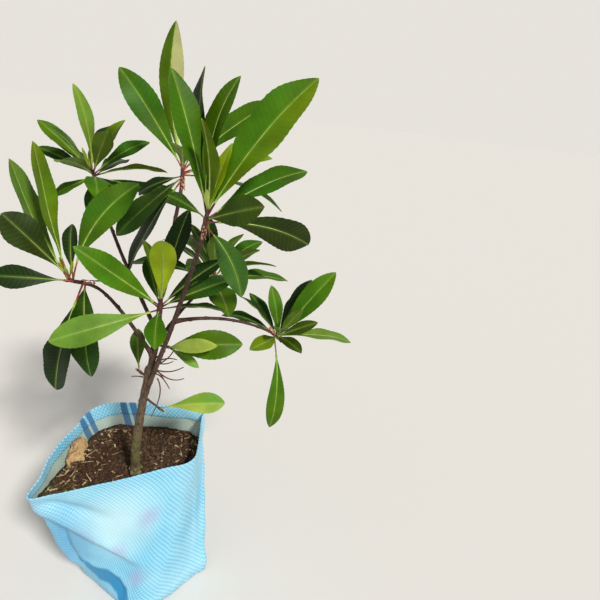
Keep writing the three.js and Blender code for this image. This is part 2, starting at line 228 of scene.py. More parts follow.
def finished(name, bm, materials, replaced=()):
    """Turns a closed bmesh in millimetres into a piece of the plant."""
    bmesh.ops.recalc_face_normals(bm, faces=bm.faces)
    bmesh.ops.scale(bm, vec=(MM, MM, MM), verts=bm.verts)
    mesh = bpy.data.meshes.new(name)
    bm.to_mesh(mesh)
    bm.free()
    placed(name, mesh, materials, replaced)


def colour(hex_code):
    """An sRGB hex colour as linear light."""
    channels = [int(hex_code[start:start + 2], 16) / 255 for start in (1, 3, 5)]
    return [c / 12.92 if c <= 0.04045 else ((c + 0.055) / 1.055) ** 2.4 for c in channels] + [1]


def add_node(tree, kind, sockets=(), **settings):
    """Adds a shader node. Its sockets, by name or in order, each take a value or another node's output."""
    node = tree.nodes.new("ShaderNode" + kind)
    for setting, value in settings.items():
        setattr(node, setting, value)
    for socket, value in sockets.items() if isinstance(sockets, dict) else enumerate(sockets):
        if isinstance(value, bpy.types.NodeSocket):
            tree.links.new(value, node.inputs[socket])
        else:
            node.inputs[socket].default_value = value
    return node.outputs


def new_material(name):
    """An empty material, and the function that adds a node to it."""
    material = bpy.data.materials.new(name)
    material.use_nodes = True
    material.node_tree.nodes.clear()
    return material, partial(add_node, material.node_tree)


# A Map Range node takes a value, the range that it comes from and the range that it goes to. A colour Mix
# node takes a share at socket 0 and its two colours at 6 and 7, and gives their mixture at 2.
def mottled(node, place, scale, detail, between, share=(0, 1), roughness=0.5):
    """A noise, and how far it is from one value to another, given as a share from least to most."""
    grain = node("TexNoise", {"Vector": place, "Scale": scale, "Detail": detail, "Roughness": roughness})[0]
    return grain, node("MapRange", (grain, *between, *share))[0]


def low_down(node, place, heights, patches):
    """Patches that are whole at the lower of two heights in metres and gone at the upper."""
    low, high = heights
    height = node("SeparateXYZ", (place,))[2]
    below = node("MapRange", (height, high, low))[0]
    return node("Math", (below, patches), operation="MULTIPLY")[0]


def layered(node, hex_code, layers):
    """A colour with others laid over it, each by its own share."""
    skin = colour(hex_code)
    for share, over in layers:
        skin = node("Mix", {0: share, 6: skin, 7: colour(over)}, data_type="RGBA")[2]
    return skin


def surface(node, skin, height, strength, depth, **sockets):
    """Joins a colour and a fine relief, some mm deep, to the shader, with its other sockets."""
    relief = node("Bump", {"Height": height, "Strength": strength, "Distance": depth * MM})[0]
    named = {socket.replace("_", " "): value for socket, value in sockets.items()}
    shader = node("BsdfPrincipled", {"Base Color": skin, "Normal": relief, **named})[0]
    node("OutputMaterial", {"Surface": shader})


# Polypropylene is a waxy, half-gloss plastic. Flat tapes about 2 mm wide cross two by two over and under
# each other, so the eye sees a fine check of blue and white, and the middle of the front is painted paler as
# a painted highlight where the sun falls. Places on the cloth are in mm round the mouth and up.
TAPE = 2.15
# The painted highlight on the front: its middle, round and up, and how far it spreads.
PAINTED_HIGHLIGHT_MIDDLE = (168, 232)
PAINTED_HIGHLIGHT_REACH = 125
# Stripes woven in from bottom to mouth: place round and half width.
STRIPE = "#2c6a9c"
STRIPES = ((598, 7), (618, 6.5), (700, 7), (722, 7))
BAND = "#108ac0"
BAND_ROUTE = ((60, 94), (84, 82), (115, 69), (160, 72), (205, 60), (240, 38), (266, 10))
BAND_HALF_WIDTH = 27
BAND_FADE = 4.5
FADED_MARKS = ((240, 242), (98, 205), (190, 160), (262, 90))
FADED_MARK = "#a58fc4"
MARK_RADII = (6, 34)
# Painted shade in a deeper blue at the lower left of the front, away from the sun: its place, and how far it
# spreads.
PAINTED_SHADE_CORNER = (26, 185)
PAINTED_SHADE_REACH = 150
PAINTED_SHADE_BLUE = "#5596c0"
SOIL_DUST = "#84735f"


def spot(node, uv, place, near, far, share, fade="LINEAR"):
    """A round spot on the cloth, whole to a radius near its middle and gone at a farther one."""
    centre = (place[0] * MM, place[1] * MM, 0)
    away = node("VectorMath", (uv, centre), operation="DISTANCE")[1]
    return node("MapRange", (away, far * MM, near * MM, 0, share), interpolation_type=fade)[0]


def outer_layers(node, uv, axes, specks):
    """The layers that only the outside has: the printed band, faded marks and the painted shade at the lower
    left.
    """
    turn_share = node("Math", (axes[0], 1 / (mouth_length * MM)), operation="MULTIPLY")[0]
    ramp = node("ValToRGB", (turn_share,))[0]
    ramp.node.color_ramp.interpolation = "EASE"
    stops = ramp.node.color_ramp.elements
    stops.remove(stops[1])
    for place_round, place_up in BAND_ROUTE:
        stops.new(place_round / mouth_length).color = [place_up / SACK_HEIGHT] * 3 + [1]
    stops.remove(stops[0])
    band_height = node("Math", (ramp, SACK_HEIGHT * MM), operation="MULTIPLY")[0]
    start, end = BAND_ROUTE[0][0], BAND_ROUTE[-1][0]
    band = []
    for value, middle, half_width in (
        (axes[1], band_height, BAND_HALF_WIDTH),
        (axes[0], (start + end) / 2 * MM, (end - start) / 2),
    ):
        off = node("Math", (value, middle), operation="SUBTRACT")[0]
        off = node("Math", (off,), operation="ABSOLUTE")[0]
        edges = [(half_width + fade) * MM for fade in (BAND_FADE, -BAND_FADE)]
        band.append(node("MapRange", (off, *edges), interpolation_type="SMOOTHSTEP")[0])
    layers = [(node("Math", band, operation="MULTIPLY")[0], BAND)]
    for place in FADED_MARKS:
        mark = spot(node, uv, place, *MARK_RADII, 0.8)
        layers.append((node("Math", (mark, specks), operation="MULTIPLY")[0], FADED_MARK))
    # Painted shade: the lower left of the front is a deeper blue where the sun doesn't fall.
    for turns_before in (0, 1):
        corner = (PAINTED_SHADE_CORNER[0] + turns_before * mouth_length, PAINTED_SHADE_CORNER[1])
        painted_shade = spot(node, uv, corner, 0.3 * PAINTED_SHADE_REACH, PAINTED_SHADE_REACH, 0.6, "SMOOTHSTEP")
        layers.append((painted_shade, PAINTED_SHADE_BLUE))
    return layers


def woven_plastic(name, white, blue, faded_and_lit, bleaching, dust_heights, further_layers=None):
    """Woven polypropylene, paler in random patches and round a painted highlight, and dusty between two
    heights in metres.
    """
    material, node = new_material(name)
    coordinates = node("TexCoord")
    uv, place = coordinates["UV"], coordinates["Object"]
    axes = node("SeparateXYZ", (uv,))
    off = []
    for axis in (0, 1):
        crossed = node("Math", (axes[axis], 1 / (TAPE * MM)), operation="MULTIPLY")[0]
        off.append(node("Math", (crossed, 0.5), operation="PINGPONG")[0])
    check = node("TexChecker", {"Vector": uv, "Scale": 1 / (2 * TAPE * MM)})[1]
    crown = node("Mix", {0: check, 2: off[0], 3: off[1]}, data_type="FLOAT")[0]
    gap = node("Math", off, operation="MINIMUM")[0]
    shade = node("MapRange", (gap, 0, 0.14, 0.72))[0]
    uneven = mottled(node, place, 9, 3, (0.4, 0.7), (0, bleaching))[1]
    # Painted highlight: the cloth is paler round the middle of the front, where the sun falls.
    painted_highlight = spot(node, uv, PAINTED_HIGHLIGHT_MIDDLE, 20, PAINTED_HIGHLIGHT_REACH, 0.62)
    fading_and_highlight = node("Math", (uneven, painted_highlight), operation="MAXIMUM")[0]
    layers = [(check, blue), (fading_and_highlight, faded_and_lit)]
    for centre, half_width in STRIPES:
        stripe = node("Math", (axes[0], centre * MM, half_width * MM), operation="COMPARE")[0]
        layers.append((node("Math", (stripe, 0.85), operation="MULTIPLY")[0], STRIPE))
    specks, speckled = mottled(node, place, 130, 5, (0.4, 0.66), (0, 0.75), 0.7)
    layers.append((low_down(node, place, dust_heights, speckled), SOIL_DUST))
    if further_layers:
        layers += further_layers(node, uv, axes, specks)
    dark = node("CombineColor", (shade, shade, shade))[0]
    mixed = {0: 1, 6: layered(node, white, layers), 7: dark}
    cloth = node("Mix", mixed, data_type="RGBA", blend_type="MULTIPLY")[2]
    surface(node, cloth, crown, 0.5, 0.5, Roughness=0.5, IOR=1.49, Coat_Weight=0.12, Coat_Roughness=0.4)
    return material


outside = woven_plastic(
    "woven_polypropylene", "#90d2ec", "#62b0d6", "#d4f3f7", 0.25, (0.0, 0.03), outer_layers)
inside = woven_plastic(
    "woven_polypropylene_dusty", "#b4c8be", "#9fb8b3", "#bac5b7", 0.7, (0.285, 0.308))

bend_angles = np.linspace(0, math.pi / 2, BEND_ROWS)
rim_angles = np.linspace(0, math.pi, RIM_ROWS)
rim_base = SACK_HEIGHT - RIM_RADIUS
hem_end = SACK_HEIGHT - HEM_DEPTH
# Each row is a height and how far it is set in from the cloth's outer face.
bends = [(1 - math.cos(angle), 1 - math.sin(angle)) for angle in bend_angles]
outer_rows = [(BOTTOM_ROUNDING * up, BOTTOM_ROUNDING * inset) for up, inset in bends]
outer_rows += [(height, 0) for height in np.linspace(BOTTOM_ROUNDING, rim_base, WALL_ROWS)[1:-1]]
outer_rows += [(rim_base + RIM_RADIUS * math.sin(a), RIM_RADIUS * (1 - math.cos(a))) for a in rim_angles]
hem_rows = [(height, 2 * RIM_RADIUS) for height in np.linspace(rim_base, hem_end, HEM_ROWS)[1:]]
hem_rows += [(hem_end - HEM_CUT, 2 * RIM_RADIUS - 0.6), (hem_end - HEM_CUT, CLOTH)]
inner_rows = [(height, CLOTH) for height in np.linspace(hem_end - 3, BOTTOM_ROUNDING, INSIDE_ROWS)]
inner_rows += [(CLOTH, BOTTOM_ROUNDING)]

bm = bmesh.new()
turns = loft(bm, [cloth_ring(height, inset) for height, inset in outer_rows + hem_rows + inner_rows])
heights = [height for height, inset in outer_rows]
heights += [2 * SACK_HEIGHT - height for height, inset in hem_rows + inner_rows]
place_of = {vert: (along, up) for turn, up in zip(turns, heights) for vert, along in zip(turn, around)}
inner_verts = {vert for turn in turns[len(outer_rows) + len(hem_rows) - 1:] for vert in turn}
uv_layer = bm.loops.layers.uv.new("tape_directions")
for face in bm.faces:
    face.material_index = int(all(vert in inner_verts for vert in face.verts))
    places = [place_of[loop.vert][0] for loop in face.loops]
    over_seam = max(places) - min(places) > mouth_length / 2
    for loop in face.loops:
        along, up = place_of[loop.vert]
        along += mouth_length if over_seam and along < mouth_length / 2 else 0
        loop[uv_layer].uv = (along * MM, up * MM)
finished("woven_sack", bm, (outside, inside), ("grow_sack",))


# Potting soil. Moist, dark, crumbly loam that fills the sack to a hand's breadth below its mouth, with
# clods, chips of straw and husk on it, a little moss in the left front corner and one crumpled dry leaf.
SOIL_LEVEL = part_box("trunk")[0].z / MM
TRUNK_FOOT = (-21, -16)
LEVEL_REACH = 24
SOIL_GAP = 0.3
SOIL_SETTLED = 16
SOIL_RINGS = 46
# The soil is heaped against the sack at its left front corner and its back: x, y, rise and spread.
HEAPS = ((-172, -62, 14, 60), (-75, 132, 10, 62), (40, 112, 7, 50))
CLODS = 3400
SCATTER_SEED = 5
CLOD_MARGIN = 3.5
FLAKE_MARGIN = 4
FLAKE_LIFT = Vector((0, 0, 1.8))
MOSS_CLODS = 170
CHIPS = 150
HUSKS = 170
# Chips lie thickest in drifts: x, y and spread.
DRIFTS = ((-105, 50, 24), (-150, -22, 22), (70, 62, 28), (-60, 100, 25))


def soil_height(x, y):
    """The height of the lumpy surface, which is level round the trunk's foot."""
    lump = math.sin(x / 21 + 1) * math.cos(y / 17) + math.sin(y / 31)
    grain = 3.2 * noise.noise(Vector((x / 12, y / 12, 0))) + 1.6 * noise.noise(Vector((x / 4.5, y / 4.5, 5)))
    level = 1 - bell(math.hypot(x - TRUNK_FOOT[0], y - TRUNK_FOOT[1]) / LEVEL_REACH)
    heap = sum(rise * bell(math.hypot(x - hx, y - hy) / spread) for hx, hy, rise, spread in HEAPS)
    return SOIL_LEVEL + 2 * lump * level + grain + heap


def granular(name, dark, light, patch, bump, roughness=0.95):
    """A crumbly matter of two colours, with patches of a third."""
    material, node = new_material(name)
    place = node("TexCoord")["Object"]
    grains, spread = mottled(node, place, 260, 6, (0.35, 0.68), roughness=0.7)
    patchy = mottled(node, place, 22, 3, (0.52, 0.66), (0, 0.7))[1]
    mixed = layered(node, dark, ((spread, light), (patchy, patch)))
    surface(node, mixed, grains, 0.9, bump, Roughness=roughness, Specular_IOR_Level=0.25)
    return material


# Damp loam scatters light and hardly shines. Its crumbs are 1 to 3 mm, so the eye sees a speckled brown.
loam = granular("damp_loam_crumbled", "#140c08", "#54402e", "#44291c", 3.0)
clod_loam = granular("loam_clods", "#22160f", "#725a42", "#3a2418", 1.0)
moss = granular("moss_on_clods", "#3c4014", "#6e7430", "#4a3a20", 1.0)
chip_straw = granular("straw_chips_dried", "#9d845e", "#d6c4a0", "#7a5c3c", 0.4, 0.75)
husk_skin = granular("bark_husks_dried", "#4a2e22", "#80583e", "#2e1c14", 0.4, 0.85)

# The soil's edge follows the inside of the cloth at the height that the surface has there.
wall_heights = np.arange(SOIL_LEVEL - 12, SOIL_LEVEL + 32, 2)
walls = np.array([cloth_ring(height, CLOTH + SOIL_GAP) for height in wall_heights])
outline = cloth_ring(SOIL_LEVEL, CLOTH + SOIL_GAP)
for _ in range(3):
    for number, (x, y, _) in enumerate(outline):
        height = soil_height(x, y)
        wall = walls[:, number]
        outline[number] = [np.interp(height, wall[:, 2], wall[:, axis]) for axis in range(3)]
foot = np.array((*TRUNK_FOOT, SOIL_LEVEL))
bm = bmesh.new()
buried_heights = (SOIL_SETTLED, 80, 160, 240, SOIL_LEVEL - SOIL_SETTLED)
rings = [cloth_ring(height, SOIL_SETTLED) for height in buried_heights]
for share in np.linspace(1, 0.02, SOIL_RINGS):
    ring = foot + (outline - foot) * share
    ring[:, 2] = [soil_height(x, y) for x, y, _ in ring]
    rings.append(ring)
loft(bm, rings)
finished("potting_soil", bm, (loam,), ("soil",))

chance = random.Random(SCATTER_SEED)


def settled(x, y, margin):
    """The place on the soil at x and y, drawn in towards the trunk until it is a margin inside the edge."""
    place = np.array((x, y))
    while True:
        away = np.linalg.norm(outline[:, :2] - place, axis=1)
        edge = outline[np.argmin(away), :2]
        inside_edge = np.linalg.norm(place - foot[:2]) < np.linalg.norm(edge - foot[:2])
        if inside_edge and away.min() > margin:
            return Vector((*place, soil_height(*place)))
        place = foot[:2] + (place - foot[:2]) * 0.95


def anywhere(margin):
    """A place on the soil drawn at random, evenly over its surface."""
    x, y, _ = foot + (outline[chance.randrange(len(outline))] - foot) * math.sqrt(chance.random())
    return settled(x, y, margin)


def mossy(margin):
    """A place in the left front corner, where light reaches the soil."""
    return settled(chance.gauss(-150, 20), chance.gauss(-52, 14), margin)


def drifted(margin):
    """A place in one of the drifts of chips, or anywhere on the soil."""
    x, y, spread = chance.choice(DRIFTS)
    if chance.random() < 0.3:
        return anywhere(margin)
    return settled(chance.gauss(x, spread), chance.gauss(y, spread), margin)


def scattered(name, shape, moves, material):
    """Joins copies of a small shape, each moved by its own matrix, into one piece that lies on the soil."""
    shape.verts.index_update()
    corners = np.array([(*vert.co, 1) for vert in shape.verts])
    sides = [[vert.index for vert in face.verts] for face in shape.faces]
    shape.free()
    points = np.concatenate([corners @ np.array(move).T[:, :3] for move in moves]) * MM
    faces = [[len(corners) * copy + index for index in side] for copy in range(len(moves)) for side in sides]
    mesh = bpy.data.meshes.new(name)
    mesh.from_pydata(points.tolist(), [], faces)
    mesh.update()
    placed(name, mesh, (material,))


# Clods are lumpy balls of many sizes, few of them large, turned every way and half sunk. Moss is rounder.
for name, count, place_clod, least, most, lumpiness, skin in (
    ("soil_clods", CLODS, anywhere, 0.9, 6.2, 0.5, clod_loam),
    ("moss", MOSS_CLODS, mossy, 1.2, 3.4, 0, moss),
):
    shape = bmesh.new()
    bmesh.ops.create_icosphere(shape, subdivisions=1, radius=1)
    for vert in shape.verts:
        vert.co *= 1 + lumpiness * noise.noise(vert.co * 2.3)
    moves = []
    for _ in range(count):
        size = least + (most - least) * chance.random() ** 2.4
        sizes = (size, size * chance.uniform(0.5, 0.9), size * chance.uniform(0.4, 0.8))
        place = Matrix.Translation(place_clod(size + CLOD_MARGIN))
        turn = Quaternion([chance.gauss(0, 1) for _ in range(4)]).normalized().to_matrix().to_4x4()
        moves.append(place @ turn @ Matrix.Diagonal((*sizes, 1)))
    scattered(name, shape, moves, skin)

# Chips and husks are flat curved flakes that lie nearly level.
for name, count, widths, (short, long), skin in (
    ("straw_chips", CHIPS, (1.8, 4.6), (5, 23), chip_straw),
    ("bark_husks", HUSKS, (2.0, 5.0), (3, 10), husk_skin),
):
    shape = bmesh.new()
    bmesh.ops.create_cone(shape, cap_ends=True, segments=6, radius1=0.5, radius2=0.22, depth=1)
    lengthwise = [edge for edge in shape.edges if len({vert.co.z > 0 for vert in edge.verts}) > 1]
    bmesh.ops.subdivide_edges(shape, edges=lengthwise, cuts=2)
    for vert in shape.verts:
        vert.co.x += 1.2 * (0.25 - vert.co.z**2)
        vert.co.y += 0.25 * math.sin(5 * vert.co.z)
    moves = []
    for _ in range(count):
        lie = Matrix.Rotation(chance.uniform(0, 2 * math.pi), 4, "Z")
        tilt = Matrix.Rotation(math.radians(90 + chance.gauss(0, 14)), 4, "Y")
        length = short + (long - short) * chance.random() ** 2
        stretch = Matrix.Diagonal((chance.uniform(0.6, 1.3), chance.uniform(*widths), length, 1))
        place = Matrix.Translation(drifted(length / 2 + FLAKE_MARGIN) + FLAKE_LIFT)
        moves.append(place @ lie @ tilt @ stretch)
    scattered(name, shape, moves, skin)

DRY_LEAF_SIZE = (31, 19)
DRY_LEAF_PLACE = Vector((-144, 34, SOIL_LEVEL + 17))
DRY_LEAF_LENGTHWISE = Vector((0.28, 0.78, 0.56))
DRY_LEAF_FACING = Vector((0.78, -0.44, 0.44))
# The dry leaf is papery and blotched. It has gone stiff and curled up.
dry_leaf_skin = granular("dry_leaf_papery", "#8f7148", "#cdb284", "#7a4a34", 0.5, 0.7)
bm = bmesh.new()
bmesh.ops.create_grid(bm, x_segments=22, y_segments=14, size=1)
for vert in bm.verts:
    taper = 1 - 0.75 * abs(vert.co.x) ** 2.2
    curl = 0.55 * vert.co.y**2 + 0.25 * vert.co.x**2
    crumple = 0.6 * noise.noise(vert.co * 1.7) + 0.25 * noise.noise(vert.co * 4.3)
    long, wide = DRY_LEAF_SIZE
    vert.co = (vert.co.x * long, vert.co.y * taper * wide, (curl + crumple) * wide)
bmesh.ops.solidify(bm, geom=bm.faces, thickness=0.5)
leaf_across = DRY_LEAF_FACING.cross(DRY_LEAF_LENGTHWISE).normalized()
leaf_facing = DRY_LEAF_LENGTHWISE.cross(leaf_across).normalized()
dry_leaf_turn = Matrix((DRY_LEAF_LENGTHWISE.normalized(), leaf_across, leaf_facing)).transposed().to_4x4()
bmesh.ops.transform(bm, matrix=Matrix.Translation(DRY_LEAF_PLACE) @ dry_leaf_turn, verts=bm.verts)
finished("dry_leaf", bm, (dry_leaf_skin,))


# Trunk. A young stem that leans to the right, knobby with old leaf scars, flared where it enters the soil
# and green with algae there. Its bark is thin, grey-brown and finely fissured along its length.
GOLDEN_ANGLE = math.radians(137.5)
TRUNK_SUNK = 8
TRUNK_LINE = ((*TRUNK_FOOT, SOIL_LEVEL - TRUNK_SUNK), (-19, -18, 352), (-7, -20, 440), (10, -20, 534))
FOOT_RADIUS = 9
TIP_RADIUS = 6.5
TIP_SWELLING = 1.6
TIP_DOME = 7
FLARE = 5
FLARE_HEIGHT = 16
TRUNK_SIDES = 32
SCAR_HEIGHT = 2.4
SCAR_WIDTH = 3.2
# Round swellings of the root collar: bearing in radians, height above the soil and radius.
FOOT_KNOBS = ((-2.2, 5, 4.6), (-0.9, 3, 5.0), (0.4, 6, 4.2), (1.8, 4, 4.8), (3.1, 8, 3.8), (-1.6, 13, 3.4))


def smooth_line(knots, steps=40):
    """Points on the centripetal curve through the knots."""
    knots = [np.array(knot, float) for knot in knots]
    knots = [2 * knots[0] - knots[1]] + knots + [2 * knots[-1] - knots[-2]]
    points = []
    for p0, p1, p2, p3 in zip(knots, knots[1:], knots[2:], knots[3:]):
        d0, d1, d2 = (np.linalg.norm(b - a) ** 0.5 for a, b in ((p0, p1), (p1, p2), (p2, p3)))
        leave = ((p1 - p0) / d0 - (p2 - p0) / (d0 + d1) + (p2 - p1) / d1) * d1
        arrive = ((p2 - p1) / d1 - (p3 - p1) / (d1 + d2) + (p3 - p2) / d2) * d1
        for t in np.arange(steps) / steps:
            cubic = (2 * t**3 - 3 * t**2 + 1) * p1 + (t**3 - 2 * t**2 + t) * leave
            points.append(cubic + (3 * t**2 - 2 * t**3) * p2 + (t**3 - t**2) * arrive)
    return np.array(points + [knots[-2]])


def evenly(line, gap):
    """How far along the line points a gap apart are, and the points."""
    run = np.concatenate(([0], np.cumsum(np.linalg.norm(np.diff(line, axis=0), axis=1))))
    places = np.linspace(0, run[-1], max(2, round(run[-1] / gap) + 1))
    return places, np.column_stack([np.interp(places, run, line[:, axis]) for axis in range(3)])


def limb_rings(line, radii, sides, fissures=0.0, run=None, scar_gap=0.0, scar=0.0):
    """Rings round a line, with long fissures and leaf scars that turn round it by the golden angle."""
    tangents = unit(np.gradient(line, axis=0))
    across = np.cross(tangents[0], (0.1, 1, 0.2))
    turn = np.arange(sides) * 2 * math.pi / sides
    rings = []
    for number, (middle, tangent, radius) in enumerate(zip(line, tangents, radii)):
        across = unit(across - tangent * (across @ tangent))
        spokes = np.outer(np.cos(turn), across) + np.outer(np.sin(turn), np.cross(tangent, across))
        reach = np.full(sides, float(radius))
        if fissures:
            lengthwise = np.array((0, 0, middle[2] / 26))
            reach += [fissures * noise.noise(Vector(spoke * 2.4 + lengthwise)) for spoke in spokes]
            reach += [0.5 * fissures * noise.noise(Vector(spoke * 6 + 3 * lengthwise)) for spoke in spokes]
        if scar_gap:
            nearest = round(run[number] / scar_gap)
            past = run[number] - nearest * scar_gap
            off = np.abs(np.angle(np.exp(1j * (turn - nearest * GOLDEN_ANGLE)))) * radius
            reach += scar * bell(past / SCAR_HEIGHT) * bell(off / SCAR_WIDTH) + 0.3 * scar * bell(past / 1.8)
        rings.append(middle + spokes * reach[:, None])
    return rings


def knob(bm, place, size, direction, material):
    """A small round swelling, flattened along a direction."""
    turn = Vector(direction).to_track_quat("Z", "Y").to_matrix().to_4x4()
    move = Matrix.Translation(place) @ turn @ Matrix.Diagonal((size, size * 1.25, size * 0.6, 1))
    made = bmesh.ops.create_icosphere(bm, subdivisions=2, radius=1, matrix=move)
    for face in {face for vert in made["verts"] for face in vert.link_faces}:
        face.material_index = material


def bark(name, young, dark, spots, algae, algae_heights):
    """Thin bark, darker along its fissures, with pale pores, and algae between two heights in metres."""
    material, node = new_material(name)
    place = node("TexCoord")["Object"]
    drawn_out = node("Mapping", {"Vector": place, "Scale": (1, 1, 0.22)})[0]
    fissures, ridges = mottled(node, drawn_out, 420, 6, (0.38, 0.62), roughness=0.65)
    pores = mottled(node, place, 330, 2, (0.62, 0.7), (0, 0.6))[1]
    patches = mottled(node, place, 70, 4, (0.4, 0.58), (0, 0.75))[1]
    green = low_down(node, place, algae_heights, patches)
    skin = layered(node, dark, ((ridges, young), (pores, spots), (green, algae)))
    surface(node, skin, fissures, 0.7, 0.8, Roughness=0.78, Specular_IOR_Level=0.3)
    return material


# Dry bark is matt and rough. Its fissures are under 1 mm apart and are drawn 2 to 3 mm apart to show.
trunk_bark = bark("young_bark_fissured", "#65513f", "#342922", "#8d7c62", "#6a6a3c", (0.32, 0.50))
collar_bark = bark("root_collar_bark", "#8b7462", "#5c483c", "#a08a74", "#7c7454", (0.29, 0.31))
bm = bmesh.new()
run, line = evenly(smooth_line(TRUNK_LINE), 2.2)
radii = FOOT_RADIUS + (TIP_RADIUS - FOOT_RADIUS) * run / run[-1] + FLARE * np.exp(-run / FLARE_HEIGHT)
radii += TIP_SWELLING * bell((run[-1] - run) / 9)
rings = limb_rings(line, radii, TRUNK_SIDES, 0.55, run, 23, 1.3)
end_tangent = unit(line[-1] - line[-2])
for share in (0.3, 0.6, 0.85, 0.97):
    dome = line[-1] + end_tangent * TIP_DOME * share
    rings.append(dome + (rings[-1] - rings[-1].mean(axis=0)) * math.sqrt(1 - share**2) ** 0.5)
loft(bm, rings)
for turn, height, size in FOOT_KNOBS:
    outwards = np.array((math.cos(turn), math.sin(turn), 0.25))
    reach = FOOT_RADIUS + FLARE * math.exp(-(TRUNK_SUNK + height) / FLARE_HEIGHT)
    knob(bm, line[0] + np.array((0, 0, TRUNK_SUNK + height)) + outwards * reach, size, outwards, 1)
ground_cut = {"plane_co": (0, 0, SOIL_LEVEL), "plane_no": (0, 0, 1), "clear_inner": True}
cut = bmesh.ops.bisect_plane(bm, geom=bm.verts[:] + bm.edges[:] + bm.faces[:], **ground_cut)["geom_cut"]
bmesh.ops.edgeloop_fill(bm, edges=[edge for edge in cut if isinstance(edge, bmesh.types.BMEdge)])
finished("trunk_wood", bm, (trunk_bark, collar_bark), ("trunk",))


# Boughs. Each is one tapering limb that grows out of the limb before it through a swollen collar. Their
# bark is younger than the trunk's: red-brown, smooth and marked with the scars of fallen leaves.
BOUGH_SIDES = 18
COLLAR = 2.2
# Each starts inside another limb and ends at a whorl, bows by an amount and tapers between two radii.
BOUGHS = {
    "leader": ((3, -22, 488), (91, -134, 806), (5, 13, 0), 4.5, 3),
    "middle_bough": ((10, -20, 534.3), (31, -38, 655), (5, 2, 0), 5, 3.5),
    "back_bough": ((8, -18, 512), (63, 33, 838), (-2, 6, 0), 4.5, 3),
    "left_bough": ((16, -21, 566), (-66, -28, 697), (-8, 0, 25), 3.5, 2.5),
    "right_bough": ((55, -68, 655), (222, -8, 604), (0, 0, 14), 3, 2.2),
    "back_left_bough": ((22, 2, 604), (-78, 122, 828), (-12, 6, 14), 3.5, 2.5),
    "back_right_bough": ((16, -6, 566), (112, 112, 640), (0, 0, 12), 3.5, 2.5),
}
# Young bark has a faint gloss. It is red-brown with grey pores, and greenish near the fork.
bough_bark = bark("young_bark_smooth", "#553c34", "#2f201c", "#7d6555", "#54503a", (0.45, 0.62))


def bowed_line(start, bend, end, steps=60):
    """Points on the curve from start to end that is drawn towards bend."""
    return bowed(start, bend, end, np.linspace(0, 1, steps)[:, None])


def bough_line(start, end, bow):
    """The bough's line, and its direction at its tip."""
    bend = (np.array(start) + np.array(end)) / 2 + 2 * np.array(bow)
    return bowed_line(start, bend, end), unit(np.array(end) - bend)


for name, (start, end, bow, thick, thin) in BOUGHS.items():
    run, line = evenly(bough_line(start, end, bow)[0], 2.4)
    radii = thick + (thin - thick) * run / run[-1] + COLLAR * np.exp(-run / 12)
    bm = bmesh.new()
    loft(bm, limb_rings(line, radii, BOUGH_SIDES, 0.3, run, 27, 0.9))
    finished(name + "_wood", bm, (bough_bark,), (name,))


# Dead stalks. Where leaves fell at the fork of the trunk, their dry stalks still stand out, most of them
# to the right, with two thin dead twigs: one hangs down and one stands up.
FORK = np.array((17, -22, 540))
# Bearing and rise in degrees, length, how far its middle droops, and its height against the fork.
STALKS = (
    (2, 2, 50, 7, -4), (-20, 20, 44, -6, 8), (24, -14, 36, 5, 12), (-42, -26, 40, -8, -10),
    (38, 34, 26, 4, 16), (168, 6, 36, -3, -26), (-70, -4, 22, 5, 8), (-10, -52, 30, -6, -2),
    (70, -18, 30, 4, 2), (125, 16, 22, -4, -16), (10, -30, 60, 12, 0),
)
# Where each twig starts, is drawn towards and ends, and its two radii.
DEAD_TWIGS = (
    ((24, -26, 520), (38, -30, 492), (12, -32, 441), 1.3, 0.7),
    ((20, -26, 548), (48, -34, 560), (58, -40, 598), 1.4, 0.8),
)
# Dead stalks are dry, brittle and dull, and their bark has gone red-brown.
stalk_skin = bark("dead_stalks_dry", "#633629", "#35190f", "#6d4c3c", "#4a3428", (0.40, 0.44))


def curved_tube(bm, start, bend, end, thick, thin, sides=8, gap=4.0, material=0):
    """A thin round stalk from start to end that is drawn towards bend."""
    run, line = evenly(bowed_line(start, bend, end), gap)
    loft(bm, limb_rings(line, thick + (thin - thick) * run / run[-1], sides), material)


def heading(bearing, rise):
    """The direction at a bearing, turned from +X towards +Y, and a rise above the level, in degrees."""
    turn, lift = math.radians(bearing), math.radians(rise)
    return np.array((math.cos(lift) * math.cos(turn), math.cos(lift) * math.sin(turn), math.sin(lift)))


bm = bmesh.new()
for bearing, rise, length, droop, height in STALKS:
    direction = heading(bearing, rise)
    start = FORK + np.array((0, 0, height)) + direction * 3
    end = start + direction * length
    curved_tube(bm, start, (start + end) / 2 - np.array((0, 0, 2 * droop)), end, 1.4, 0.8)
for twig in DEAD_TWIGS:
    curved_tube(bm, *twig)
finished("dead_stalks", bm, (stalk_skin,))


# Leaves. Thick, satin, spoon-shaped leaves stand in whorls at the twigs' tips. Each has a pale raised
# midrib, side veins and shallow teeth, and a red or green stalk that broadens into the blade.
# The source leaves this gap between a bough's tip and its mass.
CLEARANCE = 0.3
STALK_SHARE = 0.1
LEAF_SLIMNESS = 0.26
LEAF_ARCH = 0.05
LEAF_FOLD = 0.26
LEAF_THICKNESS = 0.9
# How far leaves differ in their fold, droop at the tip, twist in degrees and wave of the margin.
FOLD_VARIES = 0.06
DROOP = 0.035
TWIST = 14
WAVE = 0.09
LEAVES_APART = 26
ROW_SPACING = 4.0
LEAF_PLACES = np.linspace(-1, 1, 9)
VEIN_SPACING = 16
VEIN_SLANT = 0.55
VEIN_RELIEF = 0.045
TOOTH = 0.014
BUD_LENGTH = 8
WHORL_DEPTH = 22
SHOOT_DEPTH = 6
SHOOT_RADIUS = 2.1
SCARS = 16
